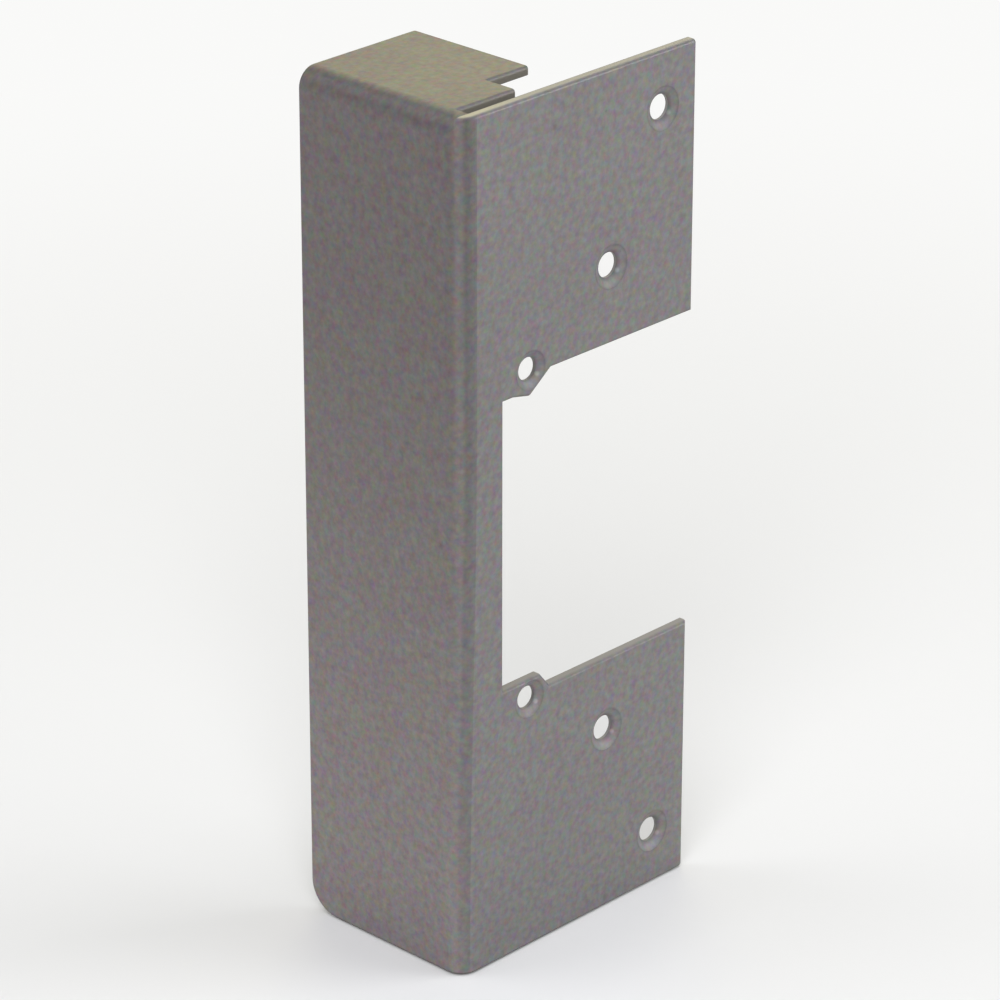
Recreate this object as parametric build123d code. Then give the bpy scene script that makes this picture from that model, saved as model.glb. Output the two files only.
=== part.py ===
from build123d import *
import os

# A cover plate for an electric release on the surface of a door frame, folded from one sheet.
# The tall face covers the side of the release, the plate at right angles to it carries the latch
# opening and the screw holes, and a flange folded back from the face closes the top.
# Sizes are in millimetres. X runs along the plate and Y along the face, both measured from the
# sharp outer corner that the tall bend would have, and Z runs up from the lower edge.

# Sheet and bends
sheet = 1.6
bend_inside_radius = 2.0
bend_outside_radius = bend_inside_radius + sheet

# Outside sizes
height = 160.0
plate_width = 58.0
face_width = 38.0
flange_depth = 28.0
mid_height = height / 2

# Corners of the blank, and the round left on the outer side's edges when the burrs came off
face_corner_radius = 6.0
small_corner_radius = 0.8
worn_edge_radius = 0.65

# Flange over the top: a slit parts it from the plate, and its back part is stepped further away
slit_width = 2.7
flange_step = 6.5
flange_front_depth = 18.0
flange_front_edge = sheet + slit_width
flange_back_edge = flange_front_edge + flange_step

# Latch opening, open at the plate's free edge
opening_height = 60.0
opening_start = 10.5
opening_bottom = mid_height - opening_height / 2
opening_top = mid_height + opening_height / 2

# Ears that stand into the opening beside the release screws, each with a slanted end
ear_reach = 2.9
ear_root = 22.2
lower_ear_tip = 19.8
upper_ear_tip = 17.0
upper_ear_heel = 13.0
upper_ear_tip_drop = 0.9
ear_tip_radius = 0.8

# Release screw holes, one behind each ear, just beyond the opening's height
release_screw_setback = 1.0
release_screw_reach = opening_height / 2 + release_screw_setback
release_screw_line = 17.1
release_bore = 4.2
release_rim = 7.0

# Inner fixing screw holes, above and below the opening
inner_fixing_setback = 14.2
inner_fixing_reach = opening_height / 2 + inner_fixing_setback
inner_fixing_line = 37.0

# Outer fixing screw holes, near the plate's free corners
outer_fixing_end_margin = 10.5
outer_fixing_side_margin = 8.4
outer_fixing_reach = mid_height - outer_fixing_end_margin
outer_fixing_line = plate_width - outer_fixing_side_margin
fixing_bore = 4.6
fixing_rim = 7.9

# The countersinks stop short of the inner side, so each hole keeps a round wall there
countersink_depth = 1.0

low_corner = (Align.MIN, Align.MIN)
plate_outside = Plane.XZ


def side_plane(depth):
    """The plane that lies this deep behind the plate's outer side, facing the same way."""
    return Plane.XZ.offset(-depth)


def nearest(choice, point):
    """The one corner, edge or face of a choice that lies nearest to a point."""
    return choice.sort_by_distance(point)[0]


def round_corner(shape, point, radius):
    """Rounds the sketch corner or the solid's edge that lies nearest to a point."""
    choice = shape.vertices() if isinstance(shape, Sketch) else shape.edges()
    return fillet(nearest(choice, point), radius)


def face_and_plate():
    """The tall face and the plate, joined by the tall bend."""
    section = Rectangle(plate_width, sheet, align=low_corner) + Rectangle(sheet, face_width, align=low_corner)
    section = round_corner(section, (0, 0, 0), bend_outside_radius)
    section = round_corner(section, (sheet, sheet, 0), bend_inside_radius)
    cover = extrude(section, height)
    cover = round_corner(cover, (sheet / 2, face_width, 0), face_corner_radius)
    for level in (0, height):
        cover = round_corner(cover, (plate_width, sheet / 2, level), small_corner_radius)
    return cover - top_corner_waste()


def top_corner_waste():
    """What lies outside the top bend's curve, behind the plate's inner side."""
    square = Pos(0, height - bend_outside_radius) * Rectangle(
        bend_outside_radius, bend_outside_radius, align=low_corner
    )
    curve = Pos(bend_outside_radius, height - bend_outside_radius) * Circle(bend_outside_radius)
    return extrude(side_plane(sheet) * (square - curve), amount=-face_width)


def inside_tall_bend():
    """The space behind the tall bend's outer curve, as far as the plate and the face reach."""
    space = Rectangle(plate_width, face_width, align=low_corner)
    return extrude(round_corner(space, (0, 0, 0), bend_outside_radius), height)


def top_flange():
    """The flange and its bend, with the slit and the step cut from the side that faces the plate."""
    top = Pos(0, height - sheet) * Rectangle(flange_depth, sheet, align=low_corner)
    leg_height = 2 * bend_outside_radius
    leg = Pos(0, height - leg_height) * Rectangle(sheet, leg_height, align=low_corner)
    section = top + leg
    section = round_corner(section, (0, height, 0), bend_outside_radius)
    section = round_corner(section, (sheet, height - sheet, 0), bend_inside_radius)
    flange = extrude(side_plane(sheet) * section, amount=sheet - face_width) & inside_tall_bend()
    lowest = (Align.MIN, Align.MIN, Align.MIN)
    slit = Pos(bend_outside_radius, sheet, height - sheet) * Box(flange_depth, slit_width, sheet, align=lowest)
    step = Pos(flange_front_depth, sheet, height - sheet) * Box(
        flange_depth, slit_width + flange_step, sheet, align=lowest
    )
    flange = flange - slit - step
    free_corners = [
        (flange_depth, face_width),
        (flange_depth, flange_back_edge),
        (flange_front_depth, flange_front_edge),
    ]
    for x, y in free_corners:
        flange = round_corner(flange, (x, y, height - sheet / 2), small_corner_radius)
    return flange


def latch_opening():
    """The opening's outline from its lower outer corner, round the two ears, cut through the plate."""
    beyond = plate_width + sheet
    ear_bottom = opening_bottom + ear_reach
    ear_top = opening_top - ear_reach
    lower_tip = (lower_ear_tip, ear_bottom)
    upper_tip = (upper_ear_tip, ear_top - upper_ear_tip_drop)
    outline = Polyline(
        (beyond, opening_bottom),
        (ear_root, opening_bottom),
        lower_tip,
        (opening_start, ear_bottom),
        (opening_start, ear_top),
        (upper_ear_heel, ear_top),
        upper_tip,
        (ear_root, opening_top),
        (beyond, opening_top),
        close=True,
    )
    opening = make_face(outline)
    for x, z in (lower_tip, upper_tip):
        opening = round_corner(opening, (x, z, 0), ear_tip_radius)
    return extrude(plate_outside * opening, amount=-2 * sheet)


def wear_outer_edges(cover):
    """Rounds the edges all round the outer side of the plate, the face and the flange.

    Each side is given by a point on it and by the middles of the lines where its bends begin,
    which are no edges of the sheet and stay as they are.
    """
    tall_bend_on_plate = (bend_outside_radius, 0, mid_height)
    tall_bend_on_face = (0, bend_outside_radius, mid_height)
    top_bend_on_face = (0, face_width / 2, height - bend_outside_radius)
    top_bend_on_flange = (bend_outside_radius, face_width / 2, height)
    sides = [
        ((plate_width / 2, 0, opening_bottom / 2), [tall_bend_on_plate]),
        ((0, face_width / 2, mid_height), [tall_bend_on_face, top_bend_on_face]),
        ((flange_depth / 2, face_width / 2, height), [top_bend_on_flange]),
    ]
    worn = []
    for point, bend_lines in sides:
        edges = nearest(cover.faces(), point).edges()
        for bend_line in bend_lines:
            edges.remove(nearest(edges, bend_line))
        worn.extend(edges)
    return fillet(worn, worn_edge_radius)


def countersunk_hole(along, up, bore, rim):
    """A hole through the plate with its countersink on the outer side."""
    wall = Cylinder(bore / 2, 4 * sheet)
    sink = Cone(bore / 2, rim / 2, countersink_depth, align=(Align.CENTER, Align.CENTER, Align.MAX))
    return plate_outside * (Pos(along, up, 0) * (wall + sink))


def screw_holes():
    """All the screw holes, in pairs above and below the middle of the plate."""
    pairs = [
        (release_screw_line, release_screw_reach, release_bore, release_rim),
        (inner_fixing_line, inner_fixing_reach, fixing_bore, fixing_rim),
        (outer_fixing_line, outer_fixing_reach, fixing_bore, fixing_rim),
    ]
    holes = []
    for line, reach, bore, rim in pairs:
        for up in (mid_height - reach, mid_height + reach):
            holes.append(countersunk_hole(line, up, bore, rim))
    return holes


def faceplate():
    """The whole folded sheet, with its lower edge on the ground plane and centred over the origin."""
    cover = face_and_plate() + top_flange()
    cover = wear_outer_edges(cover - latch_opening()) - screw_holes()
    return Pos(-plate_width / 2, -face_width / 2, 0) * cover


part = faceplate()
os.makedirs("parts", exist_ok=True)
export_step(part, "parts/faceplate.step")
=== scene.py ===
import bpy
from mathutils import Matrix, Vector

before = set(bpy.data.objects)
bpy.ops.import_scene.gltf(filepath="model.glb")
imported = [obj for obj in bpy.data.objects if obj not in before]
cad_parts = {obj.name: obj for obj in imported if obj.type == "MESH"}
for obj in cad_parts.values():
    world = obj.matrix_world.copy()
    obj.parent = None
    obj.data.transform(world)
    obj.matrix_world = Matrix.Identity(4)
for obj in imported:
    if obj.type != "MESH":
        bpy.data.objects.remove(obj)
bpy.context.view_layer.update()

# Lengths and places on the sheet are in millimetres. X and Y run from the sharp corner that the
# tall bend would have, and Z from the lower edge.
CORNER = (29.0, 19.0, 0.0)
MILLIMETRES = (1000.0, 1000.0, 1000.0)
SHEET = 1.6
BEND_RADIUS = 3.6
HEIGHT = 160.0
WORN_EDGE = 0.65

# The X, the Z and the rim's radius of each countersink
COUNTERSINKS = [
    (17.1, 49.0, 3.5),
    (17.1, 111.0, 3.5),
    (37.0, 35.8, 3.95),
    (37.0, 124.2, 3.95),
    (49.6, 10.5, 3.95),
    (49.6, 149.5, 3.95),
]

# The place and the radius of each speck of dirt, and of the painted glint beside each bore
SPECKS = [
    ((35.2, 0.0, 152.7), 0.45),
    ((22.6, 0.0, 153.1), 0.8),
    ((0.0, 18.1, 4.5), 0.55),
    ((37.0, 0.0, 1.8), 0.9),
]
PAINTED_GLINTS = [((along + 2.15, 0.7, up - 1.45), 0.65) for along, up, radius in COUNTERSINKS]

# Finishes, as linear colours
WHITE = (1.0, 1.0, 1.0, 1.0)
SATIN_STEEL = (0.324, 0.309, 0.311, 1.0)
# The face's redder copy of the steel is a painted tint of the light on that side
FACE_PAINTED_TINT_STEEL = (0.341, 0.307, 0.307, 1.0)
# Sheared steel with a painted highlight, for the top edges by the tall bend
PAINTED_HIGHLIGHT_CUT_STEEL = (0.48, 0.455, 0.345, 1.0)
DULL_SHEARED_STEEL = (0.30, 0.29, 0.285, 1.0)
# Sheared steel with painted shade, for the flange's edges in the slit
PAINTED_SHADE_FLANGE_CUT_STEEL = (0.24, 0.225, 0.19, 1.0)
# Painted shade along the lower edges
LOWER_EDGE_PAINTED_SHADE = (0.12, 0.095, 0.075, 1.0)
FLOOR_COLOUR = (0.80, 0.805, 0.82, 1.0)
FAR_FLOOR_COLOUR = (0.95, 0.95, 0.94, 1.0)
WARM_LIGHT = (1.0, 0.93, 0.60)
WHITE_LIGHT = (1.0, 1.0, 1.0)

# Painted shading makes the sheet lighter down its length, standing in for the floor's light
# reflected in the steel, between these heights and by these tones, each a share of the finish's own
# colour
TOP_TO_LOWER_END = (140.0, -15.0)
PLATE_PAINTED_SHADING = (1.01, 1.11)
FACE_PAINTED_SHADING = (0.80, 1.26)

# Noise in the finish: how fine it is, the two values of the noise between which it counts, and
# the tones or the roughness that these give
GRAIN_SCALE = 0.9
GRAIN_TONES = (0.25, 0.75, 0.96, 1.04)
SPECKLE_SCALE = 0.75
SPECKLE_TINT = 0.65
CLOUD_SCALE = 0.06
CLOUD_TONES = (0.3, 0.7, 0.98, 1.02)
CLOUD_ROUGHNESS = (0.3, 0.7, 0.43, 0.47)

# Painted highlights and a painted dark band along the tall bend, standing in for the reflections of
# the lamps and of dark surroundings in its curve. Each lies between the first and the last of four
# distances from the bend's middle, at its full strength between the other two. Its strength goes
# from the third value to the fourth while the height goes from the first to the second, and so does
# the drift of the dark band and the pale highlight.
BEND_PAINTED_HIGHLIGHT = (-2.1, -0.8, -0.5, 0.9)
BEND_PAINTED_HIGHLIGHT_STRENGTH = (20.0, 155.0, 0.0, 0.2)
BEND_PAINTED_SHADE_BAND = (0.4, 1.6, 3.85, 4.1)
BEND_PAINTED_SHADE_BAND_STRENGTH = (10.0, 150.0, 0.09, 0.22)
BEND_PAINTED_PALE_HIGHLIGHT = (3.9, 4.2, 4.4, 5.0)
BEND_PAINTED_PALE_HIGHLIGHT_STRENGTH = (80.0, 10.0, 0.0, 0.08)
DRIFT = (110.0, 0.0, 0.0, 2.0)

# Painted shade at a countersink, by the distance outside its rim
RIM_PAINTED_SHADE = (-0.5, -0.1, 0.0, 0.35)
RIM_PAINTED_SHADE_STRENGTH = 0.12
BORE_PAINTED_SHADE = (-0.9, -1.6, 0.0, 0.3)

# Changes of tone: darker at specks of dirt, a painted glint beside each bore, and painted shade
# where the round at a sheared edge begins
SPECK_CHANGE = -0.2
PAINTED_GLINT_CHANGE = 0.6
ROUND_PAINTED_SHADE = (0.0, 0.08, 0.15, 0.4)
ROUND_PAINTED_SHADE_CHANGE = -0.25

# Painted shade along the lower edges: the heights where it starts and is full, and its strength
# there
LOWER_EDGE_SHADE_REACH = (0.6, 0.05, 0.0, 0.6)

# The finish of the rolled sheet, and how worked metal differs from it
SHEET_METALLIC = 0.9
WORKED_METALLIC_CHANGE = -0.5
WORKED_ROUGHNESS_CHANGE = 0.15


def new_material(name):
    material = bpy.data.materials.new(name)
    material.use_nodes = True
    material.node_tree.nodes.clear()
    return material


def add(tree, kind, **settings):
    node = tree.nodes.new(kind)
    for key, value in settings.items():
        setattr(node, key, value)
    return node


def feed(tree, source, target):
    """Sets a socket to a number or a colour, or links it to another node's output."""
    if isinstance(source, bpy.types.NodeSocket):
        tree.links.new(source, target)
    else:
        target.default_value = source


def calc(tree, operation, *values):
    node = add(tree, "ShaderNodeMath", operation=operation)
    for value, socket in zip(values, node.inputs):
        feed(tree, value, socket)
    return node.outputs["Value"]


def product(tree, first, *others):
    for other in others:
        first = calc(tree, "MULTIPLY", first, other)
    return first


def change(tree, mask, share):
    """One where the mask is zero, and one with the share added where it is one."""
    return calc(tree, "MULTIPLY_ADD", mask, share, 1.0)


def ramp(tree, value, start, end, low=0.0, high=1.0):
    """Goes smoothly from low to high while the value goes from start to end."""
    node = add(tree, "ShaderNodeMapRange", interpolation_type="SMOOTHSTEP")
    settings = {"Value": value, "From Min": start, "From Max": end, "To Min": low, "To Max": high}
    for name, setting in settings.items():
        feed(tree, setting, node.inputs[name])
    return node.outputs["Result"]


def band(tree, value, start, full_start, full_end, end):
    """One between the two full values, falling smoothly to zero at the start and the end."""
    return product(tree, ramp(tree, value, start, full_start), ramp(tree, value, end, full_end))


def blend(tree, share, first, second, kind="MIX"):
    node = add(tree, "ShaderNodeMix", data_type="RGBA", blend_type=kind)
    sockets = [socket for socket in node.inputs if socket.enabled]
    for value, socket in zip((share, first, second), sockets):
        feed(tree, value, socket)
    return [socket for socket in node.outputs if socket.enabled][0]


def places(tree):
    """The position in millimetres from the sharp corner, as a vector and as its three parts."""
    coordinates = add(tree, "ShaderNodeTexCoord")
    scaled = add(tree, "ShaderNodeVectorMath", operation="MULTIPLY_ADD")
    tree.links.new(coordinates.outputs["Object"], scaled.inputs[0])
    scaled.inputs[1].default_value = MILLIMETRES
    scaled.inputs[2].default_value = CORNER
    parts = add(tree, "ShaderNodeSeparateXYZ")
    tree.links.new(scaled.outputs["Vector"], parts.inputs["Vector"])
    return scaled.outputs["Vector"], parts.outputs["X"], parts.outputs["Y"], parts.outputs["Z"]


def sum_of_squares(tree, first, second):
    return calc(tree, "ADD", product(tree, first, first), product(tree, second, second))


def sheet_depth(tree, x, y, z):
    """How deep a point lies under the sheet's outer side, also round the two bends."""
    short_x = calc(tree, "MAXIMUM", calc(tree, "SUBTRACT", BEND_RADIUS, x), 0.0)
    short_y = calc(tree, "MAXIMUM", calc(tree, "SUBTRACT", BEND_RADIUS, y), 0.0)
    short_z = calc(tree, "MAXIMUM", calc(tree, "SUBTRACT", z, HEIGHT - BEND_RADIUS), 0.0)
    depths = []
    for other in (short_y, short_z):
        from_axis = calc(tree, "SQRT", sum_of_squares(tree, short_x, other))
        depths.append(calc(tree, "SUBTRACT", BEND_RADIUS, from_axis))
    under_tall_bend, under_top_bend = depths
    # The plate isn't bent at the top, so the depth under the top bend is put out of reach there
    in_plate = calc(tree, "LESS_THAN", y, SHEET + 0.05)
    out_of_reach = product(tree, in_plate, HEIGHT)
    return calc(tree, "MINIMUM", under_tall_bend, calc(tree, "ADD", under_top_bend, out_of_reach))


def beyond_rim(tree, x, z):
    """The distance outside the nearest countersink's rim, below zero inside it."""
    nearest = HEIGHT
    for along, up, radius in COUNTERSINKS:
        across = calc(tree, "SUBTRACT", x, along)
        rise = calc(tree, "SUBTRACT", z, up)
        from_middle = calc(tree, "SQRT", sum_of_squares(tree, across, rise))
        nearest = calc(tree, "MINIMUM", nearest, calc(tree, "SUBTRACT", from_middle, radius))
    return nearest


def at_spots(tree, place, spots):
    """One in the middle of each spot, falling to zero round it."""
    strongest = 0.0
    for spot, radius in spots:
        away = add(tree, "ShaderNodeVectorMath", operation="DISTANCE")
        tree.links.new(place, away.inputs[0])
        away.inputs[1].default_value = spot
        strength = ramp(tree, away.outputs["Value"], radius, 0.2 * radius)
        strongest = calc(tree, "MAXIMUM", strongest, strength)
    return strongest


def mottle(tree, place, scale):
    """A cloudy noise that stays with the object."""
    noise = add(tree, "ShaderNodeTexNoise")
    tree.links.new(place, noise.inputs["Vector"])
    noise.inputs["Scale"].default_value = scale
    noise.inputs["Detail"].default_value = 2.0
    noise.inputs["Roughness"].default_value = 0.65
    return noise


def painted_shading_down_sheet(tree, on_face, z):
    """Painted shading down the sheet, lighter towards the lower end, most of all on the face,
    standing in for the floor's light reflected in the steel.
    """
    plate_painted_shading = ramp(tree, z, *TOP_TO_LOWER_END, *PLATE_PAINTED_SHADING)
    face_painted_shading = ramp(tree, z, *TOP_TO_LOWER_END, *FACE_PAINTED_SHADING)
    difference = calc(tree, "SUBTRACT", face_painted_shading, plate_painted_shading)
    return calc(tree, "MULTIPLY_ADD", on_face, difference, plate_painted_shading)


def painted_bend_reflections(tree, x, y, z, depth):
    """Painted reflections along the outer side of the tall bend, as a change of tone.

    A painted highlight line and a painted dark band, the reflection of dark surroundings, run side
    by side. Towards the lower end the band bears away from the plate, with a painted pale highlight
    beside it.
    """
    on_bend = product(tree, ramp(tree, depth, 0.8, 0.2), ramp(tree, y, BEND_RADIUS, 3.0))
    across = calc(tree, "SUBTRACT", x, y)
    drifted = calc(tree, "ADD", across, ramp(tree, z, *DRIFT))
    painted_highlight = product(
        tree, band(tree, across, *BEND_PAINTED_HIGHLIGHT), ramp(tree, z, *BEND_PAINTED_HIGHLIGHT_STRENGTH)
    )
    painted_shade_band = product(tree, band(tree, drifted, *BEND_PAINTED_SHADE_BAND), ramp(tree, z, *BEND_PAINTED_SHADE_BAND_STRENGTH))
    painted_pale_highlight = product(tree, band(tree, drifted, *BEND_PAINTED_PALE_HIGHLIGHT), ramp(tree, z, *BEND_PAINTED_PALE_HIGHLIGHT_STRENGTH))
    painted_highlights = calc(tree, "ADD", painted_highlight, painted_pale_highlight)
    return product(tree, calc(tree, "SUBTRACT", painted_highlights, painted_shade_band), on_bend)


def countersink_painted_shade(tree, rim, near_outside):
    """Painted shade: a thin dark line round each countersink's rim and a wider one round its
    bore, where the bore's edge lies in shade.
    """
    rim_painted_shade = product(tree, band(tree, rim, *RIM_PAINTED_SHADE), RIM_PAINTED_SHADE_STRENGTH)
    bore_painted_shade = ramp(tree, rim, *BORE_PAINTED_SHADE)
    return product(tree, calc(tree, "ADD", rim_painted_shade, bore_painted_shade), near_outside)


def cut_steel_with_painted_light(tree, x, y, z):
    """Bare metal of the cut edges, with a painted highlight on the top edges by the tall bend and
    painted shade on the flange's edges.
    """
    at_the_top = ramp(tree, z, 157.0, 159.0)
    by_the_bend = ramp(tree, x, 20.0, 4.0, 0.45, 1.0)
    on_flange = product(tree, ramp(tree, y, SHEET + 0.05, 2.5), ramp(tree, z, 155.0, 157.0))
    painted_top_highlight = product(tree, at_the_top, by_the_bend)
    sheared = blend(tree, painted_top_highlight, DULL_SHEARED_STEEL, PAINTED_HIGHLIGHT_CUT_STEEL)
    return blend(tree, on_flange, sheared, PAINTED_SHADE_FLANGE_CUT_STEEL)


def satin_steel():
    """Satin stainless sheet with a fine mottled grain, press lines and sheared edges."""
    material = new_material("satin stainless sheet")
    tree = material.node_tree
    output = add(tree, "ShaderNodeOutputMaterial")
    shader = add(tree, "ShaderNodeBsdfPrincipled")
    place, x, y, z = places(tree)
    depth = sheet_depth(tree, x, y, z)
    rim = beyond_rim(tree, x, z)
    on_face = ramp(tree, x, 2.5, 0.2)
    near_outside = ramp(tree, depth, 1.2, 1.0)
    in_countersink = product(tree, ramp(tree, rim, 0.1, -0.2), near_outside)
    beside_countersink = calc(tree, "SUBTRACT", 1.0, in_countersink)
    grain = mottle(tree, place, GRAIN_SCALE)
    speckle = mottle(tree, place, SPECKLE_SCALE)
    clouds = mottle(tree, place, CLOUD_SCALE)

    # The face gets a redder copy of the steel, a painted tint of the light on that side
    steel = blend(tree, on_face, SATIN_STEEL, FACE_PAINTED_TINT_STEEL)
    tint = blend(tree, SPECKLE_TINT, WHITE, speckle.outputs["Color"])
    colour = blend(tree, 1.0, steel, tint, "MULTIPLY")
    tone = product(
        tree,
        # Painted shading, lighter down the sheet
        painted_shading_down_sheet(tree, on_face, z),
        ramp(tree, grain.outputs["Fac"], *GRAIN_TONES),
        ramp(tree, clouds.outputs["Fac"], *CLOUD_TONES),
        # Painted highlights and a painted dark reflection band along the tall bend
        change(tree, painted_bend_reflections(tree, x, y, z, depth), 1.0),
        # Painted shade round each countersink's rim and bore
        change(tree, countersink_painted_shade(tree, rim, near_outside), -1.0),
        change(tree, at_spots(tree, place, SPECKS), SPECK_CHANGE),
        # A painted glint beside each bore
        change(tree, at_spots(tree, place, PAINTED_GLINTS), PAINTED_GLINT_CHANGE),
    )
    colour = blend(tree, 1.0, colour, tone, "MULTIPLY")

    # Painted shade where the round between the outer side and a sheared edge begins, damping a
    # lamp's highlight there
    painted_round_shade = product(tree, band(tree, depth, *ROUND_PAINTED_SHADE), beside_countersink)
    round_shading = change(tree, painted_round_shade, ROUND_PAINTED_SHADE_CHANGE)
    colour = blend(tree, 1.0, colour, round_shading, "MULTIPLY")

    cut_band = band(tree, depth, 0.2 * WORN_EDGE, WORN_EDGE, SHEET - 0.15, SHEET - 0.05)
    cut = product(tree, cut_band, beside_countersink)
    # Cut edges in sheared steel, with a painted highlight on top and painted shade on the flange
    colour = blend(tree, cut, colour, cut_steel_with_painted_light(tree, x, y, z))
    # Painted shade along the lower edges
    colour = blend(tree, ramp(tree, z, *LOWER_EDGE_SHADE_REACH), colour, LOWER_EDGE_PAINTED_SHADE)

    worked = calc(tree, "MAXIMUM", ramp(tree, depth, 0.0, 0.08), in_countersink)
    metallic = calc(tree, "MULTIPLY_ADD", worked, WORKED_METALLIC_CHANGE, SHEET_METALLIC)
    sheet_roughness = ramp(tree, clouds.outputs["Fac"], *CLOUD_ROUGHNESS)
    roughness = calc(tree, "MULTIPLY_ADD", worked, WORKED_ROUGHNESS_CHANGE, sheet_roughness)
    tree.links.new(colour, shader.inputs["Base Color"])
    tree.links.new(metallic, shader.inputs["Metallic"])
    tree.links.new(roughness, shader.inputs["Roughness"])
    tree.links.new(shader.outputs["BSDF"], output.inputs["Surface"])
    return material


def dress_faceplate():
    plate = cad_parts["faceplate"]
    plate.data.materials.clear()
    plate.data.materials.append(satin_steel())


def floor_material():
    """A pale floor that keeps the faceplate's shadow.

    Far from the faceplate the camera and the steel see an even pale tone in place of the lamps'
    fading light.
    """
    material = new_material("pale floor")
    tree = material.node_tree
    output = add(tree, "ShaderNodeOutputMaterial")
    plain = add(tree, "ShaderNodeBsdfDiffuse")
    plain.inputs["Color"].default_value = FLOOR_COLOUR
    far_tone = add(tree, "ShaderNodeEmission")
    far_tone.inputs["Color"].default_value = FAR_FLOOR_COLOUR
    coordinates = add(tree, "ShaderNodeTexCoord")
    away = add(tree, "ShaderNodeVectorMath", operation="LENGTH")
    tree.links.new(coordinates.outputs["Object"], away.inputs[0])
    paths = add(tree, "ShaderNodeLightPath")
    seen = calc(tree, "MAXIMUM", paths.outputs["Is Camera Ray"], paths.outputs["Is Glossy Ray"])
    seen = calc(tree, "MAXIMUM", seen, paths.outputs["Is Transmission Ray"])
    share = product(tree, ramp(tree, away.outputs["Value"], 0.12, 0.45), seen)
    surface = add(tree, "ShaderNodeMixShader")
    tree.links.new(share, surface.inputs["Fac"])
    tree.links.new(plain.outputs["BSDF"], surface.inputs[1])
    tree.links.new(far_tone.outputs["Emission"], surface.inputs[2])
    tree.links.new(surface.outputs["Shader"], output.inputs["Surface"])
    return material


def pale_floor():
    """A floor just under the level of the sheet's lower edges."""
    bpy.ops.object.select_all(action="DESELECT")
    bpy.ops.mesh.primitive_plane_add(size=6.0, location=(0.0, 0.0, -0.0002))
    floor = bpy.context.object
    floor.name = "floor"
    floor.data.materials.append(floor_material())


# Each lamp's name, place in metres, width, power in watts and colour
LAMPS = [
    ("overhead", (0.0, 0.0, 1.4), 1.2, 8.8, WHITE_LIGHT),
    ("front left", (-1.2, -0.9, 1.3), 1.2, 21.9, WHITE_LIGHT),
    ("front right", (0.9, -1.1, 1.3), 1.2, 7.4, WHITE_LIGHT),
    ("low right", (1.2, -1.2, 0.5), 0.95, 11.4, WHITE_LIGHT),
    ("back left", (-0.9, 0.9, 1.3), 1.2, 5.0, WHITE_LIGHT),
    ("low back left", (-1.2, 1.2, 0.4), 0.6, 1.6, WHITE_LIGHT),
    ("back right", (0.9, 0.9, 1.2), 1.2, 3.4, WARM_LIGHT),
    ("low back right", (1.3, 1.2, 0.75), 0.8, 2.6, WARM_LIGHT),
]
LIT_POINT = Vector((0.0, 0.0, 0.08))
WORLD_STRENGTH = 0.06


def soft_lights():
    for name, place, width, power, colour in LAMPS:
        data = bpy.data.lights.new(name, "AREA")
        data.shape = "SQUARE"
        data.size = width
        data.energy = power
        data.color = colour
        lamp = bpy.data.objects.new(name, data)
        lamp.location = place
        aim = LIT_POINT - Vector(place)
        lamp.rotation_euler = aim.to_track_quat("-Z", "Y").to_euler()
        bpy.context.scene.collection.objects.link(lamp)


def pale_world():
    world = bpy.data.worlds.new("pale surroundings")
    world.use_nodes = True
    tree = world.node_tree
    tree.nodes.clear()
    output = add(tree, "ShaderNodeOutputWorld")
    background = add(tree, "ShaderNodeBackground")
    background.inputs["Color"].default_value = WHITE
    background.inputs["Strength"].default_value = WORLD_STRENGTH
    tree.links.new(background.outputs["Background"], output.inputs["Surface"])
    bpy.context.scene.world = world


def photo_camera():
    """A camera that sees the faceplate as the photograph shows it."""
    data = bpy.data.cameras.new("camera")
    data.sensor_width = 36.0
    data.lens = 174.2375
    data.clip_start = 0.05
    data.clip_end = 20.0
    camera = bpy.data.objects.new("camera", data)
    camera.location = (-0.56044, -0.5366, 0.42694)
    camera.rotation_euler = (1.147304, -0.000903, -0.807058)
    bpy.context.scene.collection.objects.link(camera)
    bpy.context.scene.camera = camera


dress_faceplate()
pale_floor()
soft_lights()
pale_world()
photo_camera()
bpy.context.scene.view_settings.view_transform = "Standard"
